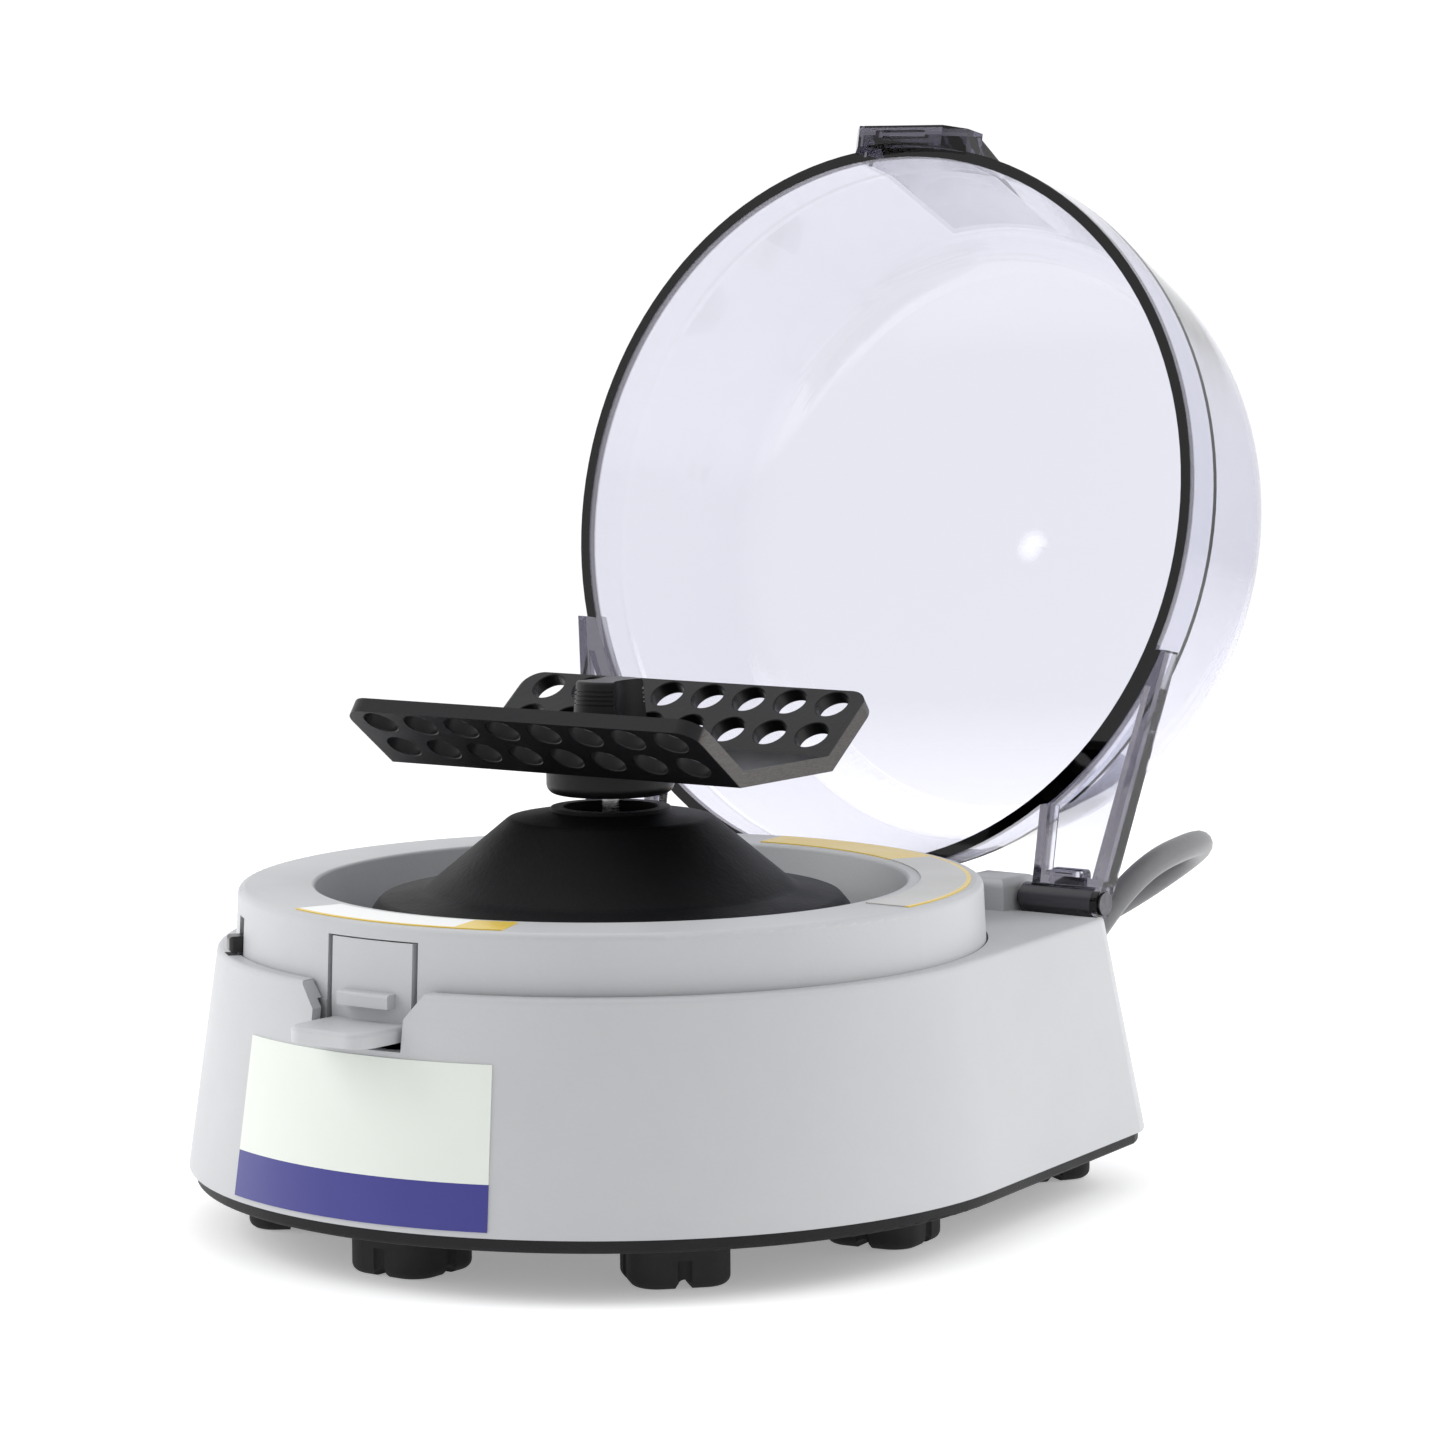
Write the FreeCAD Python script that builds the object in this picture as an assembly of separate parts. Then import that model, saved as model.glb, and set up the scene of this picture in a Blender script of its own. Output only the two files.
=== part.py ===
# Small laboratory centrifuge for two-row tube strips, standing open: a round drum on a tapered
# housing, a see-through lid on two rear hinges, a tray rotor on a vertical shaft, and a mains lead.
# Millimetres, +Z up. The origin is on the rotor's axis, in the plane that the feet stand on.
# The front, where the lid latches, is -Y. The rest pose has the lid leaning back on its stops.
import FreeCAD, Part
import math
import os

V = FreeCAD.Vector

# Heights of the main levels
FOOT_TOP = 8.5
SKIRT_BOTTOM = 11.0
DECK_Z = 50.5
RING_Z = 61.0
BOWL_FLOOR_Z = 50.4

# Outer housing: a round front that runs tangentially to a squarer rear
SKIRT_R_LOW = 76.3
SKIRT_R_TOP = 70.6
CORNER_LOW = (66.0, 86.5)
CORNER_TOP = (60.0, 80.0)
CORNER_R_LOW = 14.0
CORNER_R_TOP = 12.0
WALL = 2.2
DECK_T = 3.0

# Drum and bowl
DRUM_R_LOW = 67.5
DRUM_R_TOP = 66.8
DRUM_BOTTOM = 43.0
BOWL_R_TOP = 53.3
BOWL_R_FLOOR = 49.5
BOWL_HOLE_R = 20.0

# Cone shroud over the motor
SHROUD_PROFILE = [(43.0, 56.2), (41.4, 58.2), (33.4, 59.8), (18.4, 72.3), (11.0, 73.6)]
SHROUD_INSIDE = [(9.8, 71.8), (17.7, 70.6), (32.4, 58.2), (40.3, 56.6), (41.2, 55.4)]
SHROUD_MOUTH_R = 8.6
SHROUD_TOP = 74.2

# Rotor: a folded tray with two wings, eight holes in each of the two rows of a wing
ROTOR_TURN = 2.0
TRAY_LENGTH = 76.2
TRAY_T = 2.8
TRAY_Z = 81.3
FLOOR_HALF = 14.5
WING_ANGLE = 36.3
WING_LENGTH = 18.1
WING_CORNER_R = 4.0
HOLE_PITCH = 9.0
HOLE_COUNT = 8
HOLE_R = 3.2
HOLE_CHAMFER = 0.15
ROW_DISTANCES = (5.2, 13.5)
SHAFT_R = 1.5
SHAFT_BOTTOM = 19.0
SHAFT_TOP = 92.0
HUB_R = 11.5
HUB_Z = 76.6
KNOB_TOP = 97.0
KNOB_R_LOW = 7.3
KNOB_R_TOP = 6.1
GROOVE_PITCH = 0.8
KNOB_TURN = 2.0

# Lid: its own frame is the closed pose, with the rim plane just above the ledge.
# Each wall is (radius, depth above the rim plane) at the rim, at the band's end and at the shoulder.
HINGE_Y = 71.4
HINGE_Z = 52.6
LID_OPEN_DEG = 101.0
RIM_Z = 50.7
RIM_R = 70.2
LID_OUTSIDE = [(70.2, 0.0), (69.4, 11.0), (60.6, 46.0)]
LID_INSIDE = [(68.15, 0.0), (67.4, 11.0), (58.7, 44.9)]
CROWN_OUTSIDE = 58.5
CROWN_INSIDE = 56.6
SHOULDER_R_OUTSIDE = 13.0
SHOULDER_R_INSIDE = 11.0
ARM_T = 4.5
ARM_INNER_X = 44.7
BARREL_R = 2.9
BARREL_IN = 42.6
BARREL_OUT = 58.2
EAR_OUT = 59.5
ARM_SIDE = (68.3, 24.0)
ARM_WINDOW = [(47.0, 40.0), (47.0, 67.0), (57.6, 67.0), (65.6, 26.0), (60.0, 22.0)]
PIN_R = 1.5
PIN_RUNNING = 0.05
HEAD_R = 2.2
TAB_HALF = 12.8
TAB_R = 73.4
TAB_DROP = 4.2
TAB_T = 3.4

# Latch tongue, hung at its top in the drum's front wall
LATCH_HALF = 8.8
LATCH_TOP = 58.3
LATCH_GAP = 1.1
LIP_Z = 42.0
LIP_T = 2.6
LIP_REACH = 80.0
CATCH_HALF = 5.6
CATCH_Z = 47.2
CATCH_H = 2.4
CATCH_R = 69.6

# Lid switch plunger, left of the front
PLUNGER_DEG = -39.0
PLUNGER_W = 3.6
PLUNGER_Z = 50.9
PLUNGER_H = 2.9

# Motor
MOTOR_R = 16.0
MOTOR_BOTTOM = 21.0
MOTOR_TOP = 52.0

# Screws from below into four posts under the bowl
SCREW_XY = 30.5

# Feet: one in front, the others in pairs, each given as (angle from the front, radius)
FOOT_PLACES = [(0, 57), (48, 57), (-48, 57), (99, 54), (-99, 54), (149, 85), (-149, 85)]
FOOT_SIZE = 17.5
FOOT_CORNER = 5.0

# Cord, strain relief and plug
CORD_R = 2.5
GLAND_X = 2.0
GLAND_Y = 83.4
GLAND_Z = 30.0
GLAND_TIP_Y = 105.5
COIL_CENTRE = (-42.0, 128.0)
COIL_MEAN_R = 30.0
COIL_COLUMNS = 2
COIL_LAYERS = 3

# Centre line of the lead, from the strain relief up in a loose loop and down to the coil
LEAD_ROUTE = [
    (GLAND_X, GLAND_TIP_Y, GLAND_Z),
    (2.0, 117.0, 30.0),
    (4.5, 131.0, 32.0),
    (15.0, 146.5, 39.0),
    (33.5, 147.5, 51.5),
    (46.0, 130.0, 57.5),
    (45.0, 107.0, 54.0),
    (37.0, 96.0, 36.5),
    (22.5, 94.5, 21.5),
    (3.5, 94.5, 9.3),
    (-19.5, 95.5, 3.3),
    (-42.0, 95.5, CORD_R),
]

# Centre line of the tail, from the top layer of the coil round to the plug
TAIL_ROUTE = [
    (-14.2, 134.2, 17.0),
    (-14.3, 116.5, 17.3),
    (-25.1, 101.4, 17.5),
    (-43.4, 96.5, 17.5),
    (-61.2, 103.0, 17.6),
    (-72.0, 118.5, 17.8),
    (-72.0, 134.2, 18.6),
    (-65.8, 144.8, 20.2),
    (-55.2, 151.0, 21.5),
    (-43.0, 151.0, 21.5),
]
PLUG_RELIEF = 8.0
PLUG_BODY = (21.0, 21.0, 13.0)
BLADE = (16.0, 1.5, 6.3)
BLADE_SPACING = 12.7


# ---------- helpers ----------

def cylinder(radius, z0, z1, x=0.0, y=0.0):
    return Part.makeCylinder(radius, z1 - z0, V(x, y, z0), V(0, 0, 1))


def tube(outer, inner, z0, z1, x=0.0, y=0.0):
    return cylinder(outer, z0, z1, x, y).cut(cylinder(inner, z0 - 1, z1 + 1, x, y))


def box(x0, x1, y0, y1, z0, z1):
    return Part.makeBox(x1 - x0, y1 - y0, z1 - z0, V(x0, y0, z0))


def x_rod(radius, x0, x1, y, z):
    return Part.makeCylinder(radius, x1 - x0, V(x0, y, z), V(1, 0, 0))


def polygon_prism(points, direction):
    face = Part.Face(Part.makePolygon(points + [points[0]]))
    return face.extrude(direction)


def revolved(profile):
    """Solid of revolution about Z from a closed list of (radius, z) corners."""
    corners = [V(r, 0, z) for r, z in profile]
    face = Part.Face(Part.makePolygon(corners + [corners[0]]))
    return face.revolve(V(0, 0, 0), V(0, 0, 1), 360)


def join(shapes):
    result = shapes[0].fuse(shapes[1:]) if len(shapes) > 1 else shapes[0]
    return result.removeSplitter()


def turned(shape, degrees):
    """Copy turned about the rotor's axis; 0 is the front and positive goes towards +X."""
    copy = shape.copy()
    copy.rotate(V(0, 0, 0), V(0, 0, 1), degrees)
    return copy


def mirrored(shape):
    return shape.mirror(V(0, 0, 0), V(1, 0, 0))


def at_angle(radius, degrees, z):
    angle = math.radians(degrees)
    return V(radius * math.sin(angle), -radius * math.cos(angle), z)


def round_edges(solid, radius, wanted):
    """Fillet the edges whose middle point satisfies wanted(point, edge)."""
    edges = []
    for edge in solid.Edges:
        middle = edge.valueAt((edge.FirstParameter + edge.LastParameter) / 2)
        if wanted(middle, edge):
            edges.append(edge)
    return solid.makeFillet(radius, edges) if edges else solid


def outline(front_r, corner, corner_r, z):
    """Front circle about the origin, tangent sides to two rounded rear corners, straight rear."""
    cx, cy = corner
    reach = math.hypot(cx, cy)
    tangent = math.atan2(cy, cx) - math.acos(front_r / reach)
    side = V(front_r * math.cos(tangent), front_r * math.sin(tangent), z)
    corner_point = V(cx, cy, z)
    along = (corner_point - side).normalize()
    half_turn = (math.pi - math.acos(-along.x)) / 2
    setback = corner_r * math.tan(half_turn)
    p1 = corner_point - along * setback
    p2 = corner_point - V(setback, 0, 0)
    bisector = ((p1 + p2) * 0.5 - corner_point).normalize()
    centre = corner_point + bisector * (corner_r / math.cos(half_turn))
    middle = centre - bisector * corner_r

    def left(p):
        return V(-p.x, p.y, p.z)

    edges = [
        Part.Arc(left(side), V(0, -front_r, z), side).toShape(),
        Part.LineSegment(side, p1).toShape(),
        Part.Arc(p1, middle, p2).toShape(),
        Part.LineSegment(p2, left(p2)).toShape(),
        Part.Arc(left(p2), left(middle), left(p1)).toShape(),
        Part.LineSegment(left(p1), left(side)).toShape(),
    ]
    return Part.Wire(edges)


def between(low, high, share):
    return low + (high - low) * share


def housing_outline(z, inset=0.0):
    """The tapered housing's outline at height z, moved inwards by inset."""
    share = (z - SKIRT_BOTTOM) / (DECK_Z - SKIRT_BOTTOM)
    front_r = between(SKIRT_R_LOW, SKIRT_R_TOP, share) - inset
    corner = [between(CORNER_LOW[i], CORNER_TOP[i], share) - inset for i in (0, 1)]
    corner_r = max(between(CORNER_R_LOW, CORNER_R_TOP, share) - inset, 2.0)
    return outline(front_r, corner, corner_r, z)


def housing_loft(z0, z1, inset=0.0):
    return Part.makeLoft([housing_outline(z0, inset), housing_outline(z1, inset)], True, True)


# ---------- housing ----------

def latch_notch():
    """Space cut in the housing's front: flared at the top, and open to the front."""
    flare = TAB_HALF + 0.6
    waist = LATCH_HALF + 1.2
    corners = [
        V(-flare, -90, DECK_Z + 1),
        V(-flare, -90, DECK_Z - 0.2),
        V(-waist, -90, DECK_Z - 4.4),
        V(-waist, -90, LIP_Z - 1.4),
        V(waist, -90, LIP_Z - 1.4),
        V(waist, -90, DECK_Z - 4.4),
        V(flare, -90, DECK_Z - 0.2),
        V(flare, -90, DECK_Z + 1),
    ]
    return polygon_prism(corners, V(0, 40, 0))


def plunger_slot(z0, z1, r0, r1, width):
    return turned(box(-width / 2, width / 2, -r1, -r0, z0, z1), PLUNGER_DEG)


def hinge_block():
    """Block between one barrel and the middle of the rear deck, which carries the hinge pin."""
    block = box(30.0, 41.4, 65.3, 76.8, DECK_Z - 0.5, 56.3)
    block = round_edges(block, 1.6, lambda p, e: p.z > 56.2)
    return block.cut(x_rod(PIN_R, 30.5, 50, HINGE_Y, HINGE_Z))


def outer_housing():
    shell = housing_loft(SKIRT_BOTTOM, DECK_Z)
    shell = round_edges(shell, 1.0, lambda p, e: abs(p.z - DECK_Z) < 0.01)
    shell = shell.cut(housing_loft(SKIRT_BOTTOM - 0.01, DECK_Z - DECK_T, WALL))
    shell = shell.cut(cylinder(DRUM_R_LOW + 0.2, 30, 60))
    pocket = box(BARREL_IN - 1.0, EAR_OUT + 0.6, HINGE_Y - 3.6, HINGE_Y + 3.6, DECK_Z - 1.3, DECK_Z + 1)
    shell = shell.cut([pocket, mirrored(pocket)])
    shell = shell.fuse([hinge_block(), mirrored(hinge_block())])
    shell = shell.cut(latch_notch())
    shell = shell.cut(plunger_slot(DECK_Z - 6, DECK_Z + 1, 60, 69.9, PLUNGER_W + 0.7))
    gland_hole = Part.makeCylinder(5.6, 20, V(GLAND_X, 75, GLAND_Z), V(0, 1, 0))
    shell = shell.cut(gland_hole)
    return shell


def drum_housing():
    """Outer drum wall, flat ring and dished bowl in one moulding, with a flange under the deck."""
    t = WALL
    profile = [
        (DRUM_R_LOW + 0.3, DRUM_BOTTOM),
        (DRUM_R_LOW + 0.3, DECK_Z - DECK_T - 0.2),
        (DRUM_R_LOW, DECK_Z - DECK_T - 0.2),
        (DRUM_R_TOP, RING_Z),
        (BOWL_R_TOP, RING_Z),
        (BOWL_R_FLOOR, BOWL_FLOOR_Z),
        (BOWL_HOLE_R, BOWL_FLOOR_Z),
        (BOWL_HOLE_R, BOWL_FLOOR_Z - t),
        (BOWL_R_FLOOR + 1.4, BOWL_FLOOR_Z - t),
        (BOWL_R_TOP + 1.5, RING_Z - t),
        (DRUM_R_TOP - t, RING_Z - t),
        (DRUM_R_LOW - t, DRUM_BOTTOM),
    ]
    drum = revolved(profile)
    drum = round_edges(drum, 1.3, lambda p, e: abs(p.z - RING_Z) < 0.01 and math.hypot(p.x, p.y) > 60)
    drum = round_edges(drum, 0.8, lambda p, e: abs(p.z - RING_Z) < 0.01 and math.hypot(p.x, p.y) < 58)
    window = LATCH_HALF + LATCH_GAP
    drum = drum.cut(box(-window, window, -75, -60, DRUM_BOTTOM - 1, LATCH_TOP + 0.25))
    drum = drum.cut(plunger_slot(DRUM_BOTTOM - 1, 57.0, 60, 72, PLUNGER_W + 0.7))
    posts = [cylinder(3.6, SKIRT_BOTTOM + 0.05, BOWL_FLOOR_Z - 0.5, x, y) for x, y in screw_places()]
    holes = [cylinder(1.2, SKIRT_BOTTOM - 1, 26, x, y) for x, y in screw_places()]
    return drum.fuse(posts).cut(holes)


def screw_places():
    return [(side_x * SCREW_XY, side_y * SCREW_XY) for side_x in (-1, 1) for side_y in (-1, 1)]


# ---------- underside ----------

def base_plate():
    plate = Part.Face(housing_outline(SKIRT_BOTTOM, 1.2)).extrude(V(0, 0, FOOT_TOP - SKIRT_BOTTOM))
    plate = round_edges(plate, 0.6, lambda p, e: abs(p.z - FOOT_TOP) < 0.01)
    holes = [cylinder(1.5, FOOT_TOP - 1, SKIRT_BOTTOM + 1, x, y) for x, y in screw_places()]
    seats = [cylinder(3.3, FOOT_TOP - 1, FOOT_TOP + 1.6, x, y) for x, y in screw_places()]
    vents = []
    for row in range(5):
        y = 30.0 + 6.0 * row
        vents.append(box(-18.0, 18.0, y - 1.2, y + 1.2, FOOT_TOP - 1, SKIRT_BOTTOM + 1))
    return plate.cut(holes + seats + vents)


def base_screws():
    screws = []
    for x, y in screw_places():
        head = cylinder(3.0, FOOT_TOP + 0.1, FOOT_TOP + 1.55, x, y)
        shank = cylinder(1.15, FOOT_TOP + 1.5, 24.0, x, y)
        slots = [
            box(x - 1.7, x + 1.7, y - 0.35, y + 0.35, FOOT_TOP, FOOT_TOP + 0.9),
            box(x - 0.35, x + 0.35, y - 1.7, y + 1.7, FOOT_TOP, FOOT_TOP + 0.9),
        ]
        screws.append(head.fuse(shank).cut(slots))
    return Part.makeCompound(screws)


def foot():
    """Rubber pad with rounded corners, crossed grooves underneath and a notch in each side."""
    half = FOOT_SIZE / 2
    pad = box(-half, half, -half, half, 0, FOOT_TOP)
    pad = round_edges(pad, FOOT_CORNER, lambda p, e: abs(p.z - FOOT_TOP / 2) < 0.01)
    pad = round_edges(pad, 1.6, lambda p, e: p.z < 0.01)
    cuts = [
        x_rod(1.5, -half - 1, half + 1, 0, 0.1),
        Part.makeCylinder(1.5, FOOT_SIZE + 2, V(0, -half - 1, 0.1), V(0, 1, 0)),
    ]
    for dx, dy in ((1, 0), (-1, 0), (0, 1), (0, -1)):
        cuts.append(cylinder(1.3, -1, 5.0, dx * (half + 0.4), dy * (half + 0.4)))
    return pad.cut(cuts)


def feet():
    pads = []
    for degrees, radius in FOOT_PLACES:
        pad = foot()
        pad.rotate(V(0, 0, 0), V(0, 0, 1), degrees)
        pad.translate(at_angle(radius, degrees, 0))
        pads.append(pad)
    return Part.makeCompound(pads)


# ---------- inside the bowl and the housing ----------

def cone_shroud():
    """Thin cone on a low brim, with a flat shoulder and a small raised ring round the shaft."""
    inner = [(SHROUD_MOUTH_R, SHROUD_TOP), (SHROUD_MOUTH_R, SHROUD_INSIDE[0][1] + 0.2)]
    inner += SHROUD_INSIDE + [(SHROUD_INSIDE[-1][0], BOWL_FLOOR_Z)]
    outer = [(SHROUD_PROFILE[0][0], BOWL_FLOOR_Z)] + SHROUD_PROFILE
    outer += [(SHROUD_PROFILE[-1][0] - 0.3, SHROUD_TOP)]
    shroud = revolved(inner + outer)
    for (corner_r, _), radius in zip(SHROUD_PROFILE[1:4], (1.2, 2.5, 2.0)):
        shroud = round_edges(shroud, radius, lambda p, e: abs(math.hypot(p.x, p.y) - corner_r) < 0.1)
    return shroud


def ring_sector(start, end, r0, r1, z0, z1):
    """Flat sector between two angles, both counted from the front."""
    face = Part.Face(Part.makePolygon([V(r0, 0, z0), V(r1, 0, z0), V(r1, 0, z1), V(r0, 0, z1), V(r0, 0, z0)]))
    sector = face.revolve(V(0, 0, 0), V(0, 0, 1), end - start)
    return turned(sector, start - 90)


def ring_labels():
    front = ring_sector(-20, 21, 55.6, 64.6, RING_Z, RING_Z + 0.2)
    rear = ring_sector(90, 187, 55.6, 64.6, RING_Z, RING_Z + 0.2)
    return front, rear


def front_label():
    proud = housing_loft(12.0, 39.6, -0.2).cut(housing_loft(SKIRT_BOTTOM, DECK_Z, 0.0))
    reach = 90.0
    half = math.radians(21.5)
    wedge = [V(0, 0, 0), V(-reach * math.tan(half), -reach, 0), V(reach * math.tan(half), -reach, 0)]
    return proud.common(polygon_prism(wedge, V(0, 0, 60)))


def motor_can():
    profile = [
        (MOTOR_R, MOTOR_BOTTOM + 1.0),
        (MOTOR_R, MOTOR_TOP),
        (6.0, MOTOR_TOP),
        (6.0, MOTOR_TOP + 3.0),
        (4.0, MOTOR_TOP + 3.0),
        (4.0, MOTOR_TOP - 1.4),
        (MOTOR_R - 1.4, MOTOR_TOP - 1.4),
        (MOTOR_R - 1.4, MOTOR_BOTTOM + 1.0),
    ]
    return revolved(profile)


def motor_end_cap():
    cap = tube(MOTOR_R - 1.4, 4.0, MOTOR_BOTTOM, MOTOR_BOTTOM + 3.6)
    terminals = [box(x - 0.4, x + 0.4, 8.0, 11.0, MOTOR_BOTTOM - 4, MOTOR_BOTTOM + 0.5) for x in (-6, 6)]
    return cap.fuse(terminals)


def motor_bushes():
    bore = SHAFT_R + PIN_RUNNING
    upper = tube(4.0, bore, MOTOR_TOP - 1.4, MOTOR_TOP + 3.0)
    lower = tube(4.0, bore, MOTOR_BOTTOM, MOTOR_BOTTOM + 3.6)
    return Part.makeCompound([upper, lower])


def motor_magnets():
    arcs = []
    for start in (30, 210):
        arcs.append(ring_sector(start, start + 120, 12.2, MOTOR_R - 1.4, 27.0, 48.0))
    return Part.makeCompound(arcs)


def motor_plate():
    plate = tube(27.0, 6.05, MOTOR_TOP, MOTOR_TOP + 1.8)
    screw_holes = [cylinder(1.4, MOTOR_TOP - 1, MOTOR_TOP + 3, x, 0) for x in (-11, 11)]
    return plate.cut(screw_holes)


def motor_screws():
    screws = []
    for x in (-11, 11):
        head = cylinder(2.6, MOTOR_TOP + 1.8, MOTOR_TOP + 3.4, x, 0)
        shank = cylinder(1.35, MOTOR_TOP + 0.02, MOTOR_TOP + 2, x, 0)
        screws.append(head.fuse(shank))
    return Part.makeCompound(screws)


def motor_mounts():
    """Rubber discs between the bowl floor and the motor plate."""
    pads = []
    for degrees in (45, 135, 225, 315):
        place = at_angle(23.5, degrees, 0)
        pads.append(cylinder(3.2, BOWL_FLOOR_Z, MOTOR_TOP, place.x, place.y))
    return Part.makeCompound(pads)


def circuit_board():
    board = box(-32.0, 32.0, 36.0, 74.0, 17.0, 18.6)
    return board.cut([cylinder(1.5, 16, 20, x, y) for x in (-28, 28) for y in (40, 70)])


def board_standoffs():
    posts = [tube(2.8, 1.2, SKIRT_BOTTOM, 17.0, x, y) for x in (-28, 28) for y in (40, 70)]
    return Part.makeCompound(posts)


def board_parts():
    transformer = round_edges(box(-24.0, 0.0, 44.0, 66.0, 18.6, 38.0), 1.0, lambda p, e: p.z > 37.9)
    capacitors = [cylinder(4.0, 18.6, 31.0, x, 48.0) for x in (9.0, 19.0)]
    heat_sink = box(6.0, 24.0, 62.0, 64.5, 18.6, 36.0)
    return Part.makeCompound([transformer, heat_sink] + capacitors)


def lid_switch():
    body = turned(box(-3.2, 3.2, -65.6, -58.0, 26.0, 36.2), PLUNGER_DEG)
    return round_edges(body, 0.5, lambda p, e: p.z > 36.1)


def switch_bracket():
    post = box(-4.2, 4.2, -58.0, -55.5, SKIRT_BOTTOM, 36.0)
    shelf = box(-4.2, 4.2, -65.6, -55.5, 23.8, 26.0)
    return turned(post.fuse(shelf), PLUNGER_DEG)


def lid_plunger():
    """Black block beside the drum wall, with a stem inside the drum above the switch."""
    half = PLUNGER_W / 2
    block = box(-half, half, -69.6, -61.5, PLUNGER_Z, PLUNGER_Z + PLUNGER_H)
    block = round_edges(block, 0.7, lambda p, e: p.y < -69.5)
    stem = box(-half, half, -64.4, -61.5, 40.0, PLUNGER_Z + 0.5)
    return turned(block.fuse(stem).removeSplitter(), PLUNGER_DEG)


def latch_tongue():
    """Springy tongue in the drum's front wall, with a catch bar and a lip to press."""
    flank_z = DECK_Z - DECK_T - 0.2
    top_r = between(DRUM_R_LOW, DRUM_R_TOP, (LATCH_TOP - flank_z) / (RING_Z - flank_z))
    wall = revolved([
        (DRUM_R_LOW, LIP_Z),
        (DRUM_R_LOW, flank_z),
        (top_r, LATCH_TOP),
        (top_r - 1.9, LATCH_TOP),
        (DRUM_R_LOW - 1.9, LIP_Z),
    ])
    tongue = wall.common(box(-LATCH_HALF, LATCH_HALF, -75, -60, LIP_Z, LATCH_TOP))
    lip = box(-LATCH_HALF, LATCH_HALF, -LIP_REACH, -66.0, LIP_Z, LIP_Z + LIP_T)
    lip = round_edges(lip, 4.0, lambda p, e: p.y < -79.9 and abs(p.z - LIP_Z - LIP_T / 2) < 0.01)
    lip = round_edges(lip, 0.8, lambda p, e: p.z > LIP_Z + LIP_T - 0.01 and p.y < -67)
    lip = lip.cut(cylinder(DRUM_R_LOW - 1.9, LIP_Z - 1, LIP_Z + 10))
    catch = tube(CATCH_R, DRUM_R_LOW - 1, CATCH_Z, CATCH_Z + CATCH_H)
    catch = catch.common(box(-CATCH_HALF, CATCH_HALF, -75, -60, 40, 60))
    top_z = CATCH_Z + CATCH_H - 0.01
    catch = round_edges(catch, 0.6, lambda p, e: p.z > top_z and math.hypot(p.x, p.y) > 69.4)
    return join([tongue, lip, catch])


# ---------- rotor ----------

def tray_profile():
    """Corners of the folded plate's section across its length, from the right fold round."""
    angle = math.radians(WING_ANGLE)
    along = V(0, math.cos(angle), math.sin(angle))
    inward = V(0, -math.sin(angle), math.cos(angle))
    fold = V(0, FLOOR_HALF, TRAY_Z)
    tip = fold + along * WING_LENGTH
    tip_in = tip + inward * TRAY_T
    fold_in = V(0, FLOOR_HALF - TRAY_T * math.tan(angle / 2), TRAY_Z + TRAY_T)
    half = [fold, tip, tip_in, fold_in]
    other = [V(p.x, -p.y, p.z) for p in reversed(half)]
    return half + other, fold_in, along, inward


def hole_cutter(centre, inward):
    """Through hole across a wing with a chamfer at both faces."""
    start = centre - inward * (TRAY_T + 1)
    cutter = Part.makeCylinder(HOLE_R, TRAY_T + 2, start, inward)
    lead = HOLE_CHAMFER
    inner = Part.makeCone(HOLE_R, HOLE_R + 2 * lead, 2 * lead, centre - inward * lead, inward)
    outer_face = centre - inward * TRAY_T
    outer = Part.makeCone(HOLE_R + 2 * lead, HOLE_R, 2 * lead, outer_face - inward * lead, inward)
    return cutter.fuse([inner, outer])


def strip_rotor():
    corners, fold_in, along, inward = tray_profile()
    shift = V(-TRAY_LENGTH / 2, 0, 0)
    tray = polygon_prism([p + shift for p in corners], V(TRAY_LENGTH, 0, 0))
    tip_z = TRAY_Z + WING_LENGTH * math.sin(math.radians(WING_ANGLE))
    tray = round_edges(
        tray,
        WING_CORNER_R,
        lambda p, e: abs(p.x) > TRAY_LENGTH / 2 - 0.01 and p.z > tip_z and e.Length < TRAY_T + 0.1,
    )
    cutters = []
    for i in range(HOLE_COUNT):
        x = (i - (HOLE_COUNT - 1) / 2) * HOLE_PITCH
        for distance in ROW_DISTANCES:
            cutter = hole_cutter(fold_in + along * distance + V(x, 0, 0), inward)
            cutters.append(cutter)
            cutters.append(cutter.mirror(V(0, 0, 0), V(0, 1, 0)))
    tray = tray.cut(cutters)
    return turned(tray.cut(cylinder(SHAFT_R + 0.01, 70, 90)), ROTOR_TURN)


def rotor_hub():
    hub = tube(HUB_R, SHAFT_R + 0.01, HUB_Z, TRAY_Z)
    return round_edges(hub, 1.8, lambda p, e: p.z < HUB_Z + 0.01 and math.hypot(p.x, p.y) > 5)


def rotor_knob():
    """Round grip with two scooped sides and four grooves across the pads between them."""
    base_z = TRAY_Z + TRAY_T
    knob = Part.makeCone(KNOB_R_LOW, KNOB_R_TOP, KNOB_TOP - base_z, V(0, 0, base_z))
    knob = round_edges(knob, 0.6, lambda p, e: p.z > KNOB_TOP - 0.01)
    cuts = [cylinder(SHAFT_R + 0.01, base_z - 1, SHAFT_TOP + 0.5)]
    cuts += [cylinder(8.0, base_z + 1.5, KNOB_TOP + 1, side * 10.7, 0) for side in (-1, 1)]
    slope = (KNOB_R_LOW - KNOB_R_TOP) / (KNOB_TOP - base_z)
    for i in range(4):
        down = 1.7 + GROOVE_PITCH * i
        groove_r = KNOB_R_TOP + slope * down - 0.3
        cuts.append(tube(9.0, groove_r, KNOB_TOP - down - 0.17, KNOB_TOP - down + 0.17))
    return turned(knob.cut(cuts), KNOB_TURN)


def motor_shaft():
    shaft = cylinder(SHAFT_R, SHAFT_BOTTOM, SHAFT_TOP)
    return round_edges(shaft, 0.4, lambda p, e: p.z > SHAFT_TOP - 0.01 or p.z < SHAFT_BOTTOM + 0.01)


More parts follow.
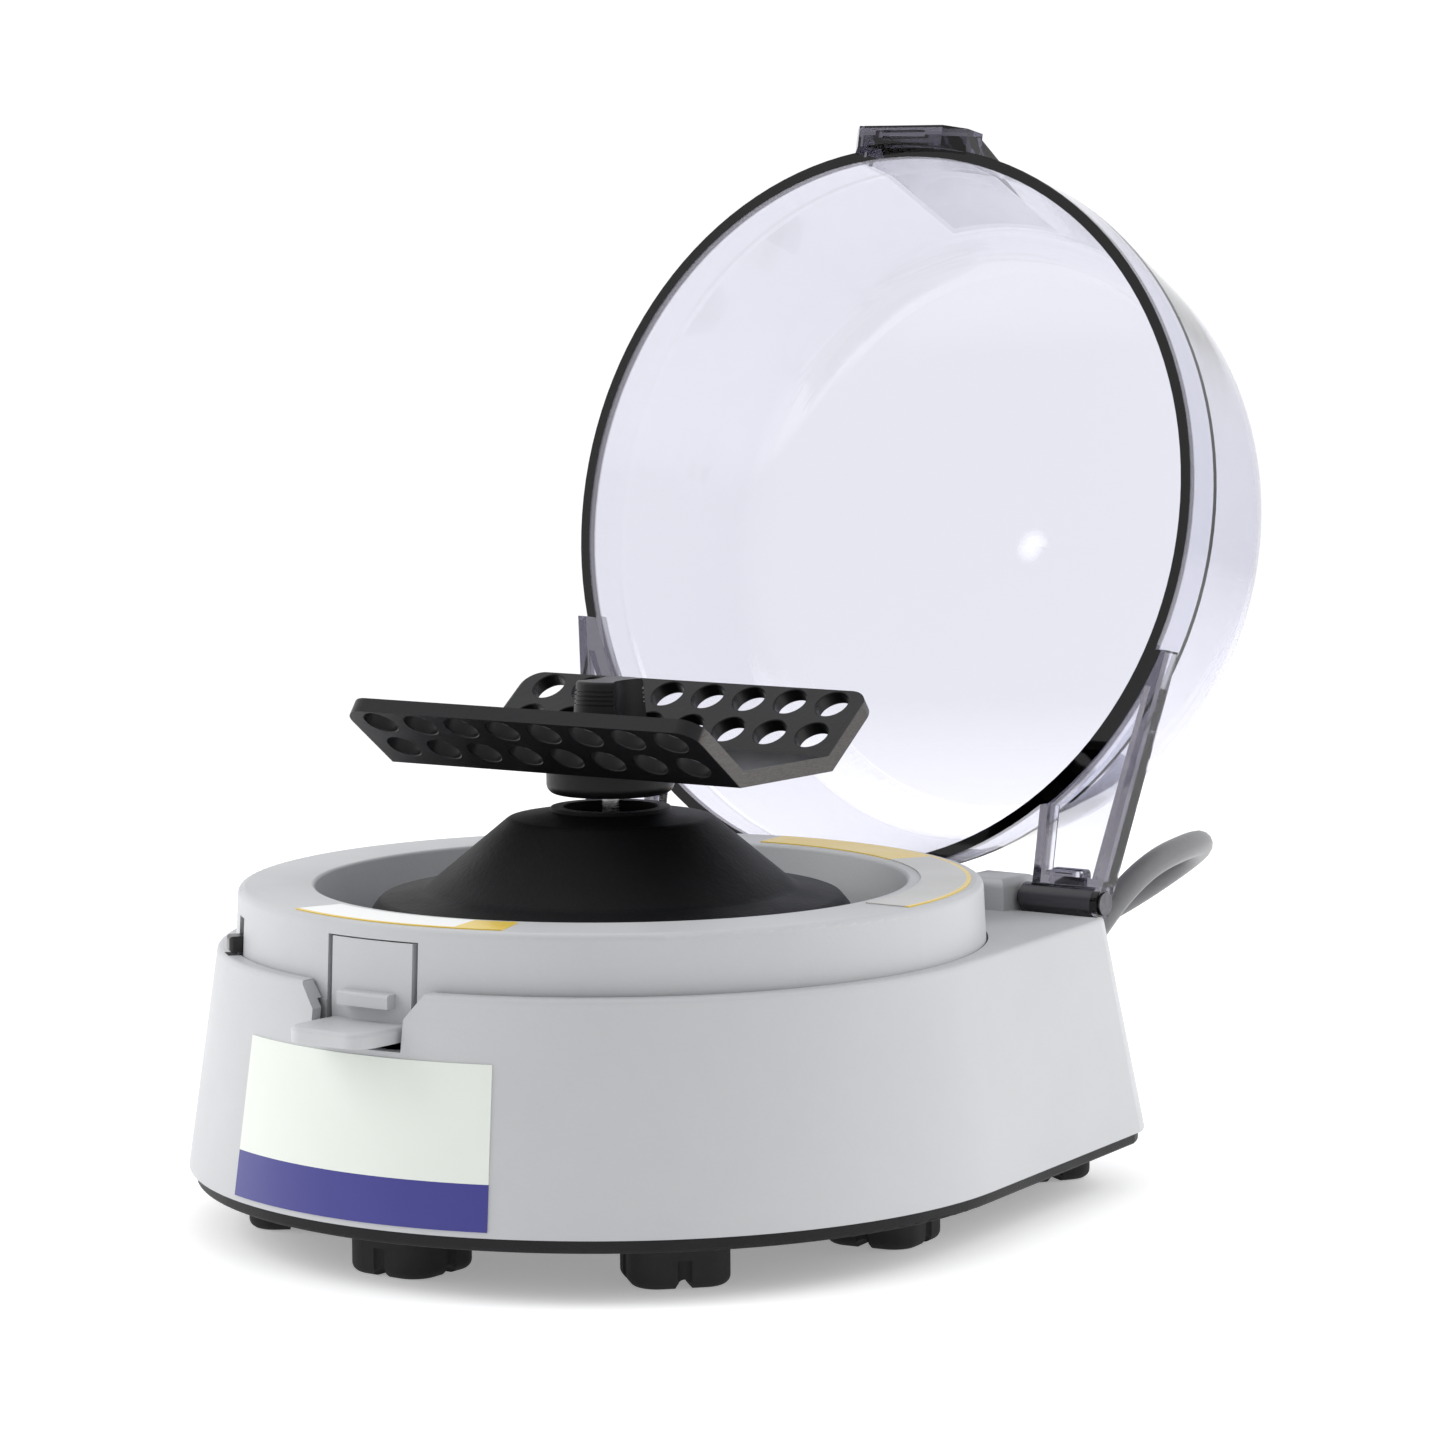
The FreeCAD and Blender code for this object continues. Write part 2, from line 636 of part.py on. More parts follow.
def motor_armature():
    core = tube(11.2, SHAFT_R + 0.01, 29.0, 46.0)
    slots = [turned(box(-1.0, 1.0, -12.0, -5.5, 28.0, 47.0), 72 * i) for i in range(5)]
    commutator = tube(3.4, SHAFT_R + 0.01, 25.2, 29.0)
    return core.cut(slots).fuse(commutator)


# ---------- lid ----------

def opened(shape):
    """Swing a shape from the lid's closed pose to its open rest pose."""
    copy = shape.copy()
    copy.rotate(V(0, HINGE_Y, HINGE_Z), V(1, 0, 0), -LID_OPEN_DEG)
    return copy


def dome(wall, crown, shoulder_r):
    """Solid dome above the rim plane: a steep band, a tapered wall, a round shoulder and a crown."""
    (rim_r, _), (band_r, band_depth), (corner_r, corner_depth) = wall
    rise = crown - corner_depth
    crown_r = (corner_r ** 2 + rise ** 2) / (2 * rise)
    half = math.asin(corner_r / crown_r) / 2
    middle = V(crown_r * math.sin(half), 0, RIM_Z + crown - crown_r * (1 - math.cos(half)))
    foot = V(0, 0, RIM_Z)
    rim = V(rim_r, 0, RIM_Z)
    band = V(band_r, 0, RIM_Z + band_depth)
    corner = V(corner_r, 0, RIM_Z + corner_depth)
    top = V(0, 0, RIM_Z + crown)
    edges = [
        Part.LineSegment(foot, rim).toShape(),
        Part.LineSegment(rim, band).toShape(),
        Part.LineSegment(band, corner).toShape(),
        Part.Arc(corner, middle, top).toShape(),
        Part.LineSegment(top, foot).toShape(),
    ]
    solid = Part.Face(Part.Wire(edges)).revolve(V(0, 0, 0), V(0, 0, 1), 360)
    return round_edges(solid, shoulder_r, lambda p, e: abs(p.z - corner.z) < 0.01)


def lid_cavity():
    return dome(LID_INSIDE, CROWN_INSIDE, SHOULDER_R_INSIDE)


def arm_plate():
    """Flat arm on the +X side, from the rim back to the hinge barrel, with a recessed window."""
    plate = polygon_prism(
        [
            V(ARM_INNER_X, 40.0, RIM_Z),
            V(ARM_INNER_X, HINGE_Y - 0.4, RIM_Z),
            V(EAR_OUT, HINGE_Y - 0.4, RIM_Z),
            V(ARM_SIDE[0], ARM_SIDE[1], RIM_Z),
            V(ARM_SIDE[0] - 8.0, ARM_SIDE[1], RIM_Z),
        ],
        V(0, 0, ARM_T),
    )
    window = polygon_prism([V(x, y, RIM_Z - 1) for x, y in ARM_WINDOW], V(0, 0, 1 + ARM_T - 1.3))
    window = window.cut(cylinder(RIM_R + 1.4, RIM_Z - 2, RIM_Z + 10))
    return plate.cut(window)


def lid_ear():
    """Disc at the arm's outer end, which closes the barrel and carries the pin."""
    disc = x_rod(BARREL_R, BARREL_OUT + 0.1, EAR_OUT, HINGE_Y, HINGE_Z)
    neck = box(BARREL_OUT + 0.1, EAR_OUT, HINGE_Y - 6.0, HINGE_Y, RIM_Z, RIM_Z + ARM_T)
    return disc.fuse(neck)


def stop_heel():
    """Lug behind the barrel that comes to rest on the deck; modelled open, returned closed."""
    lug = box(46.5, 53.0, HINGE_Y - 0.5, HINGE_Y + 6.4, DECK_Z + 0.12, DECK_Z + 7.4)
    lug = round_edges(lug, 1.2, lambda p, e: p.z > DECK_Z + 7.3 and p.y > HINGE_Y + 6)
    lug.rotate(V(0, HINGE_Y, HINGE_Z), V(1, 0, 0), LID_OPEN_DEG)
    return lug


def lid_tab():
    """Front tab that drops into the housing's notch, and a flat panel from it up the dome."""
    low = RIM_Z - TAB_DROP
    foot_half = LATCH_HALF + 0.8
    tab = polygon_prism(
        [
            V(-TAB_HALF, -TAB_R, RIM_Z + 5.0),
            V(-TAB_HALF, -TAB_R, RIM_Z - 0.2),
            V(-foot_half, -TAB_R, low),
            V(foot_half, -TAB_R, low),
            V(TAB_HALF, -TAB_R, RIM_Z - 0.2),
            V(TAB_HALF, -TAB_R, RIM_Z + 5.0),
        ],
        V(0, TAB_T + 4.0, 0),
    )
    tab = tab.cut(cylinder(CATCH_R + 0.35, low - 1, RIM_Z))
    panel = polygon_prism(
        [
            V(-12.3, -TAB_R + 0.3, RIM_Z + 4.0),
            V(-12.3, -63.2, RIM_Z + 27.5),
            V(-12.3, -58.0, RIM_Z + 27.5),
            V(-12.3, -58.0, RIM_Z + 4.0),
        ],
        V(24.6, 0, 0),
    )
    slot = box(-5.7, 5.7, -72.5, -71.1, low - 1, low + 2.4)
    return tab.fuse(panel).cut(slot)


def lid_shell():
    arms = [arm_plate(), lid_ear(), stop_heel()]
    arms += [mirrored(arm) for arm in arms]
    body = dome(LID_OUTSIDE, CROWN_OUTSIDE, SHOULDER_R_OUTSIDE).fuse(arms + [lid_tab()])
    barrels = x_rod(BARREL_R + 0.02, BARREL_IN - 3, BARREL_OUT + 0.1, HINGE_Y, HINGE_Z)
    pins = x_rod(PIN_R + PIN_RUNNING, BARREL_IN - 3, EAR_OUT + 1, HINGE_Y, HINGE_Z)
    heads = x_rod(HEAD_R + 0.2, EAR_OUT, EAR_OUT + 1, HINGE_Y, HINGE_Z)
    spaces = [barrels, pins, heads]
    body = body.cut([lid_cavity()] + spaces + [mirrored(space) for space in spaces])
    return opened(body)


def hinge_barrels():
    barrel = x_rod(BARREL_R, BARREL_IN, BARREL_OUT, HINGE_Y, HINGE_Z)
    barrel = barrel.cut(x_rod(PIN_R + PIN_RUNNING, BARREL_IN - 1, BARREL_OUT + 1, HINGE_Y, HINGE_Z))
    return opened(Part.makeCompound([barrel, mirrored(barrel)]))


def hinge_pins():
    """Steel pins pressed into the hinge blocks, with a flat head outside each arm."""
    pin = x_rod(PIN_R, 31.0, EAR_OUT + 0.3, HINGE_Y, HINGE_Z)
    head = x_rod(HEAD_R, EAR_OUT + 0.1, EAR_OUT + 0.5, HINGE_Y, HINGE_Z)
    pin = pin.fuse(head)
    return Part.makeCompound([pin, mirrored(pin)])


# ---------- mains lead ----------

def y_cylinder(radius, y0, y1, x, z):
    return Part.makeCylinder(radius, y1 - y0, V(x, y0, z), V(0, 1, 0))


def strain_relief():
    """Grey gland: a nut inside the wall, a collar outside, and a grooved taper round the lead."""
    taper_start = V(GLAND_X, GLAND_Y + 2.0, GLAND_Z)
    taper = Part.makeCone(5.0, 3.3, GLAND_TIP_Y - taper_start.y, taper_start, V(0, 1, 0))
    for i in range(5):
        y = GLAND_Y + 6.0 + 3.2 * i
        ring = y_cylinder(8.0, y, y + 1.3, GLAND_X, GLAND_Z)
        taper = taper.cut(ring.cut(y_cylinder(4.1 - 0.25 * i, y - 1, y + 2, GLAND_X, GLAND_Z)))
    collar = y_cylinder(7.0, GLAND_Y - 3.0, GLAND_Y + 2.4, GLAND_X, GLAND_Z)
    collar = collar.cut(housing_loft(SKIRT_BOTTOM, DECK_Z))
    thread = y_cylinder(5.5, 76.4, GLAND_Y + 1.0, GLAND_X, GLAND_Z)
    nut = y_cylinder(7.5, 76.8, 79.6, GLAND_X, GLAND_Z)
    return join([taper, collar, thread, nut])


def rounded_route(points, name):
    """Wire of straight runs joined by tangent arcs as large as the runs allow."""
    corners = [V(*p) for p in points]
    edges = []
    radii = []
    start = corners[0]
    for before, corner, after in zip(corners, corners[1:], corners[2:]):
        run = min((corner - before).Length, (after - corner).Length)
        back = (before - corner).normalize()
        onward = (after - corner).normalize()
        half_turn = (math.pi - back.getAngle(onward)) / 2
        trim = 0.45 * run
        radius = trim / math.tan(half_turn)
        bisector = (back + onward).normalize()
        arc_start = corner + back * trim
        arc_end = corner + onward * trim
        middle = corner + bisector * (radius / math.cos(half_turn) - radius)
        edges.append(Part.LineSegment(start, arc_start).toShape())
        edges.append(Part.Arc(arc_start, middle, arc_end).toShape())
        radii.append(radius)
        start = arc_end
    edges.append(Part.LineSegment(start, corners[-1]).toShape())
    print(name, "bend radii", [round(r, 1) for r in radii])
    return Part.Wire(edges)


def cord_tube(points, name):
    route = rounded_route(points, name)
    start = V(*points[0])
    heading = V(*points[1]) - start
    ring = Part.Wire([Part.Circle(start, heading, CORD_R).toShape()])
    tube_solid = route.makePipeShell([ring], True, False)
    share = tube_solid.Volume / (math.pi * CORD_R ** 2 * route.Length)
    print(name, "length", round(route.Length, 1), "volume share", round(share, 4))
    return tube_solid


def cord_coil():
    """Outer shape of the put-away turns: a ring of rectangular section with rounded edges."""
    x, y = COIL_CENTRE
    half = COIL_COLUMNS * CORD_R
    height = COIL_LAYERS * 2 * CORD_R
    ring = tube(COIL_MEAN_R + half, COIL_MEAN_R - half, 0, height, x, y)
    ring = round_edges(ring, 2.2, lambda p, e: p.z > height - 0.01 or p.z < 0.01)
    turns = COIL_COLUMNS * COIL_LAYERS
    print("coil length", round(turns * 2 * math.pi * COIL_MEAN_R, 1))
    return ring


def plug_start():
    x, y, z = TAIL_ROUTE[-1]
    return V(x, y, z)


def power_plug():
    """Moulded two-blade plug lying on the coil, with its own short relief."""
    start = plug_start()
    length, width, height = PLUG_BODY
    x0 = start.x + PLUG_RELIEF
    relief = Part.makeCone(3.2, 4.6, PLUG_RELIEF + 1.0, start, V(1, 0, 0))
    body = box(x0, x0 + length, start.y - width / 2, start.y + width / 2, 15.0, 15.0 + height)
    body = round_edges(body, 4.0, lambda p, e: p.x < x0 + 0.01 and abs(p.z - start.z) < 0.1)
    body = round_edges(body, 1.5, lambda p, e: p.z > 14.99 + height or p.z < 15.01)
    return join([relief, body])


def plug_blades():
    start = plug_start()
    x0 = start.x + PLUG_RELIEF + PLUG_BODY[0]
    length, thickness, height = BLADE
    blades = []
    for side in (-1, 1):
        y = start.y + side * BLADE_SPACING / 2
        z = start.z
        blade = box(x0, x0 + length, y - thickness / 2, y + thickness / 2, z - height / 2, z + height / 2)
        hole = y_cylinder(1.5, y - 2, y + 2, x0 + length - 4.0, z)
        blades.append(blade.cut(hole))
    return Part.makeCompound(blades)


# ---------- export ----------

def all_nodes():
    label_front, label_rear = ring_labels()
    return {
        "outer_housing": outer_housing(),
        "drum_housing": drum_housing(),
        "base_plate": base_plate(),
        "base_screws": base_screws(),
        "feet": feet(),
        "cone_shroud": cone_shroud(),
        "ring_label_front": label_front,
        "ring_label_rear": label_rear,
        "front_label": front_label(),
        "motor_can": motor_can(),
        "motor_end_cap": motor_end_cap(),
        "motor_bushes": motor_bushes(),
        "motor_magnets": motor_magnets(),
        "motor_plate": motor_plate(),
        "motor_screws": motor_screws(),
        "motor_mounts": motor_mounts(),
        "circuit_board": circuit_board(),
        "board_standoffs": board_standoffs(),
        "board_parts": board_parts(),
        "lid_switch": lid_switch(),
        "switch_bracket": switch_bracket(),
        "hinge_pins": hinge_pins(),
        "strain_relief": strain_relief(),
        "cord_lead": cord_tube(LEAD_ROUTE, "lead"),
        "cord_coil": cord_coil(),
        "cord_tail": cord_tube(TAIL_ROUTE, "tail"),
        "power_plug": power_plug(),
        "plug_blades": plug_blades(),
        "lid_plunger": lid_plunger(),
        "latch_tongue": latch_tongue(),
        "strip_rotor": strip_rotor(),
        "rotor_hub": rotor_hub(),
        "rotor_knob": rotor_knob(),
        "motor_shaft": motor_shaft(),
        "motor_armature": motor_armature(),
        "lid_shell": lid_shell(),
        "hinge_barrels": hinge_barrels(),
    }


os.makedirs("parts", exist_ok=True)
for name, shape in all_nodes().items():
    shape.exportStep("parts/" + name + ".step")
    print(name, "solids", len(shape.Solids), "valid", shape.isValid(), "volume", round(shape.Volume))
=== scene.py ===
import math

import bpy
from mathutils import Matrix, Vector


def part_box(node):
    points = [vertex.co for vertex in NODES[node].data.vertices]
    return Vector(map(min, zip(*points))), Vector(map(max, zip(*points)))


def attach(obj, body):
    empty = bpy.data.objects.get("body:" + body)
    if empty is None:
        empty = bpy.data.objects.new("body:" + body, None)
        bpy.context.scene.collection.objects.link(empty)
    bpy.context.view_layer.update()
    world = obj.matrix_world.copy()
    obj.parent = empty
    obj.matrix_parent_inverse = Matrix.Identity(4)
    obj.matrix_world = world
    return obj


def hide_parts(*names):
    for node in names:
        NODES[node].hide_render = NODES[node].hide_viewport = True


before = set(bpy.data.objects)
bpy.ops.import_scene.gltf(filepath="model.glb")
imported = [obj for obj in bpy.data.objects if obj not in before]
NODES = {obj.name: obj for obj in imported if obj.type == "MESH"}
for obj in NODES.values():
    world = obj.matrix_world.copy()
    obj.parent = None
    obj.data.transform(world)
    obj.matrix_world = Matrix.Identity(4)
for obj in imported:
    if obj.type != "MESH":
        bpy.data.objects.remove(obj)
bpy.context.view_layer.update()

# Camera: looks at the machine from its front right, a little above it
AZIMUTH = 36.32
ELEVATION = 6.18
ROLL = -0.36
DISTANCE = 0.900
TARGET = (0.01625, 0.01195, 0.0891)
LENS = 125.16

# Light: direction of the dim side of the surround, its strength there, and the two lamps in watts
FRONT = (0.59, -0.81, 0.0)
FRONT_LIGHT = 0.55
LEFT_POWER = 11.0
RIGHT_POWER = 10.0

# Rotor tray: its turn at rest, its long direction, and how far its ends are from the shaft
TRAY_TURN = math.radians(2.0)
TRAY_AXIS = (math.cos(TRAY_TURN), math.sin(TRAY_TURN), 0.0)
TRAY_END = 0.0381

# Open lid: centre of its rim, its axis into the dome, up in the rim plane, tint, and the depth of the rim
# band painted with shade
LID_RIM = (0.0, 0.0832, 0.12305)
LID_AXIS = (0.0, 0.9816, -0.1908)
LID_UP = (0.0, 0.1908, 0.9816)
LID_TINT = (0.900, 0.905, 0.965)
PAINTED_RIM_SHADE_DEPTH = 0.0014

# Frosted panel of the lid behind its tab: half its width, its lower edge above the rim's centre, its depth
PANEL_HALF = 0.0124
PANEL_LOW = 0.055
PANEL_DEPTH = 0.036

# Ring labels: where their yellow edge starts, from the rotor's axis
YELLOW_EDGE = 0.0638

# Floor: it fades out between these distances from the rotor's axis
FLOOR_FADE = (0.35, 0.9)

# Mains lead: points from the strain relief to the coil, the coil's turns, and the tail to the plug
CORD_D = 0.005
LEAD = [
    (0.002, 0.1055, 0.030),
    (0.002, 0.117, 0.030),
    (0.0045, 0.131, 0.032),
    (0.015, 0.1465, 0.039),
    (0.0335, 0.1475, 0.0515),
    (0.046, 0.130, 0.0575),
    (0.045, 0.107, 0.054),
    (0.037, 0.096, 0.0365),
    (0.0225, 0.0945, 0.0215),
    (0.0035, 0.0945, 0.0093),
    (-0.0195, 0.0955, 0.0033),
]
COIL_CENTRE = (-0.042, 0.128)
TAIL = [
    (-0.0142, 0.1342, 0.017),
    (-0.0143, 0.1165, 0.0173),
    (-0.0251, 0.1014, 0.0175),
    (-0.0434, 0.0965, 0.0175),
    (-0.0612, 0.103, 0.0176),
    (-0.072, 0.1185, 0.0178),
    (-0.072, 0.1342, 0.0186),
    (-0.0658, 0.1448, 0.0202),
    (-0.0552, 0.151, 0.0215),
    (-0.043, 0.151, 0.0215),
    (-0.041, 0.151, 0.0215),
]
# Each turn of the coil lies in one of these places, given as (radius, height); the last leads to the tail
TURN_PLACES = [
    (0.0325, 0.0025),
    (0.0275, 0.0025),
    (0.0275, 0.0075),
    (0.0325, 0.0075),
    (0.0325, 0.0125),
    (0.0275, 0.0125),
    (0.0285, 0.0170),
]
POINTS_PER_TURN = 18

# Coil, in turns: where a turn steps to its next place, how much earlier each next one does, how long
# the step takes, and how much of the last turn is left out before the tail
STEP_AT = 0.95
STEP_EARLIER = 0.05
STEP_WIDTH = 0.1
LAST_TURN_CUT = 0.27


# ---------- camera, light and floor ----------

def make_camera():
    azimuth, elevation, roll = (math.radians(x) for x in (AZIMUTH, ELEVATION, ROLL))
    back = Vector((
        math.sin(azimuth) * math.cos(elevation),
        -math.cos(azimuth) * math.cos(elevation),
        math.sin(elevation),
    ))
    right = Vector((math.cos(azimuth), math.sin(azimuth), 0))
    up = back.cross(right)
    x_axis = right * math.cos(roll) + up * math.sin(roll)
    y_axis = up * math.cos(roll) - right * math.sin(roll)
    data = bpy.data.cameras.new("camera")
    data.lens = LENS
    data.sensor_width = 36.0
    data.clip_end = 20.0
    camera = bpy.data.objects.new("camera", data)
    bpy.context.scene.collection.objects.link(camera)
    turn = Matrix((x_axis, y_axis, back)).transposed().to_4x4()
    camera.matrix_world = Matrix.Translation(Vector(TARGET) + back * DISTANCE) @ turn
    bpy.context.scene.camera = camera


def area_light(name, place, aim, size, power):
    data = bpy.data.lights.new(name, "AREA")
    data.shape = "RECTANGLE"
    data.size, data.size_y = size
    data.energy = power
    light = bpy.data.objects.new(name, data)
    light.visible_glossy = False
    light.visible_transmission = False
    light.location = place
    light.rotation_mode = "QUATERNION"
    light.rotation_quaternion = (Vector(aim) - Vector(place)).to_track_quat("-Z", "Y")
    bpy.context.scene.collection.objects.link(light)


def make_world():
    """A white surround that is dimmer on the camera's side, which gives the round front its shading."""
    world = bpy.data.worlds.new("studio")
    world.use_nodes = True
    tree = world.node_tree
    background = tree.nodes["Background"]
    background.inputs["Color"].default_value = (0.98, 0.985, 1.0, 1.0)
    direction = tree.nodes.new("ShaderNodeTexCoord").outputs["Generated"]
    front = tree.nodes.new("ShaderNodeVectorMath")
    front.operation = "DOT_PRODUCT"
    front.inputs[1].default_value = FRONT
    tree.links.new(direction, front.inputs[0])
    strength = tree.nodes.new("ShaderNodeMapRange")
    for socket, value in (("From Min", -0.3), ("From Max", 0.9), ("To Min", 1.05), ("To Max", FRONT_LIGHT)):
        strength.inputs[socket].default_value = value
    tree.links.new(front.outputs["Value"], strength.inputs["Value"])
    tree.links.new(strength.outputs["Result"], background.inputs["Strength"])
    bpy.context.scene.world = world


def make_studio():
    make_world()
    bpy.context.scene.view_settings.view_transform = "Standard"
    area_light("left", (-1.12, -0.54, 0.75), (0, 0, 0.06), (0.9, 1.1), LEFT_POWER)
    area_light("right", (0.88, 0.88, 0.75), (0, 0, 0.06), (0.9, 1.1), RIGHT_POWER)
    mesh = bpy.data.meshes.new("floor")
    reach = 6.0
    corners = [(-reach, -reach, 0), (reach, -reach, 0), (reach, reach, 0), (-reach, reach, 0)]
    mesh.from_pydata(corners, [], [(0, 1, 2, 3)])
    floor = bpy.data.objects.new("floor", mesh)
    bpy.context.scene.collection.objects.link(floor)
    floor.data.materials.append(floor_material())


# ---------- material helpers ----------

class Shader:
    """A new node material with one Principled shader, and short ways to add nodes to it."""

    def __init__(self, name, **sockets):
        self.material = bpy.data.materials.new(name)
        self.material.use_nodes = True
        self.tree = self.material.node_tree
        self.principled = self.tree.nodes["Principled BSDF"]
        self.coords = self.add("ShaderNodeTexCoord").outputs["Object"]
        for socket, value in sockets.items():
            self.principled.inputs[socket.replace("_", " ")].default_value = value

    def add(self, kind, links=None, **settings):
        node = self.tree.nodes.new(kind)
        for key, value in settings.items():
            setattr(node, key, value)
        for socket, source in (links or {}).items():
            if hasattr(source, "is_output"):
                self.tree.links.new(source, node.inputs[socket])
            else:
                node.inputs[socket].default_value = source
        return node

    def stretched(self, scale):
        return self.add("ShaderNodeMapping", {"Vector": self.coords, "Scale": scale}).outputs[0]

    def noise(self, scale, detail=3.0, roughness=0.5, vector=None):
        links = {
            "Vector": vector or self.coords,
            "Scale": scale,
            "Detail": detail,
            "Roughness": roughness,
        }
        return self.add("ShaderNodeTexNoise", links).outputs["Fac"]

    def ramp(self, fac, stops, interpolation="LINEAR"):
        node = self.add("ShaderNodeValToRGB", {"Fac": fac})
        ramp = node.color_ramp
        ramp.interpolation = interpolation
        while len(ramp.elements) < len(stops):
            ramp.elements.new(0.5)
        for element, (place, colour) in zip(ramp.elements, stops):
            element.position = place
            element.color = (*colour, 1.0)
        return node.outputs["Color"]

    def value(self, fac, low, high, source=(0.3, 0.7)):
        links = {"Value": fac, "From Min": source[0], "From Max": source[1], "To Min": low, "To Max": high}
        return self.add("ShaderNodeMapRange", links).outputs["Result"]

    def maths(self, operation, a, b=0.0):
        return self.add("ShaderNodeMath", {0: a, 1: b}, operation=operation).outputs[0]

    def mix(self, fac, a, b):
        node = self.add("ShaderNodeMix", data_type="RGBA")
        for socket, source in ((0, fac), (6, a), (7, b)):
            if hasattr(source, "is_output"):
                self.tree.links.new(source, node.inputs[socket])
            else:
                node.inputs[socket].default_value = source
        return node.outputs[2]

    def bump(self, *layers):
        """Stacks (height, distance) layers into the shader's normal."""
        normal = None
        for height, distance in layers:
            links = {"Height": height, "Distance": distance, "Strength": 1.0}
            if normal is not None:
                links["Normal"] = normal
            normal = self.add("ShaderNodeBump", links).outputs["Normal"]
        self.tree.links.new(normal, self.principled.inputs["Normal"])

    def set(self, socket, source):
        self.tree.links.new(source, self.principled.inputs[socket])

    def axis(self, name):
        return self.add("ShaderNodeSeparateXYZ", {"Vector": self.coords}).outputs[name]


# ---------- materials ----------

def floor_material():
    shader = Shader("floor_paper", Roughness=0.9, Specular_IOR_Level=0.1, Emission_Strength=0.3)
    shader.principled.inputs["Emission Color"].default_value = (1.0, 1.0, 1.0, 1.0)
    tone = shader.noise(6.0, 4.0)
    shader.set("Base Color", shader.ramp(tone, [(0.3, (0.90, 0.90, 0.90)), (0.7, (0.92, 0.92, 0.92))]))
    away = shader.add("ShaderNodeVectorMath", {0: shader.coords}, operation="LENGTH").outputs["Value"]
    shader.set("Alpha", shader.value(away, 1.0, 0.0, FLOOR_FADE))
    return shader.material


def moulded(name, dark, light, rough=(0.4, 0.5), grain=1400.0, grain_depth=0.00004, **sockets):
    """Moulded plastic: a spark-eroded grain, faint flow marks and uneven sheen."""
    shader = Shader(name, **sockets)
    flow = shader.noise(18.0, 5.0, 0.6)
    speckle = shader.noise(grain, 2.0)
    shader.set("Base Color", shader.ramp(flow, [(0.3, dark), (0.7, light)]))
    shader.set("Roughness", shader.value(shader.noise(60.0, 4.0), rough[0], rough[1]))
    shader.bump((speckle, grain_depth), (shader.noise(35.0, 2.0), 0.00006))
    return shader.material


def housing_abs():
    return moulded("housing_abs", (0.470, 0.478, 0.490), (0.500, 0.507, 0.518), (0.40, 0.50))


def black_shroud():
    return moulded(
        "black_shroud", (0.004, 0.004, 0.005), (0.007, 0.007, 0.008), (0.50, 0.62),
        1100.0, 0.00008, Specular_IOR_Level=0.2,
    )


def black_base():
    return moulded(
        "black_base", (0.005, 0.005, 0.006), (0.009, 0.009, 0.010), (0.45, 0.58),
        Specular_IOR_Level=0.25,
    )


def rotor_black():
    """Satin black, with the grey ends that a saw or cutter leaves on the tray."""
    shader = Shader("rotor_black", Specular_IOR_Level=0.3)
    flow = shader.noise(18.0, 5.0, 0.6)
    satin = shader.ramp(flow, [(0.3, (0.006, 0.006, 0.007)), (0.7, (0.011, 0.011, 0.012))])
    across = shader.noise(1.0, 3.0, 0.6, shader.stretched((300.0, 900.0, 5000.0)))
    sawn = shader.ramp(across, [(0.3, (0.060, 0.055, 0.052)), (0.7, (0.105, 0.098, 0.092))])
    along = shader.add("ShaderNodeVectorMath", {0: shader.coords, 1: TRAY_AXIS}, operation="DOT_PRODUCT")
    distance = shader.maths("ABSOLUTE", along.outputs["Value"])
    at_end = shader.value(distance, 0.0, 1.0, (TRAY_END - 0.00035, TRAY_END - 0.00015))
    shader.set("Base Color", shader.mix(at_end, satin, sawn))
    shader.set("Roughness", shader.value(shader.noise(60.0, 4.0), 0.30, 0.42))
    shader.bump((shader.noise(900.0, 2.0), 0.00003), (shader.noise(35.0, 2.0), 0.00005))
    return shader.material


def plunger_black():
    return moulded("plunger_black", (0.006, 0.006, 0.006), (0.010, 0.010, 0.010), (0.25, 0.35))


def foot_rubber():
    return moulded("foot_rubber", (0.008, 0.008, 0.008), (0.018, 0.018, 0.018), (0.65, 0.85), 800.0, 0.00009)


def barrel_dark():
    return moulded("barrel_dark", (0.030, 0.028, 0.034), (0.045, 0.042, 0.050), (0.2, 0.3))


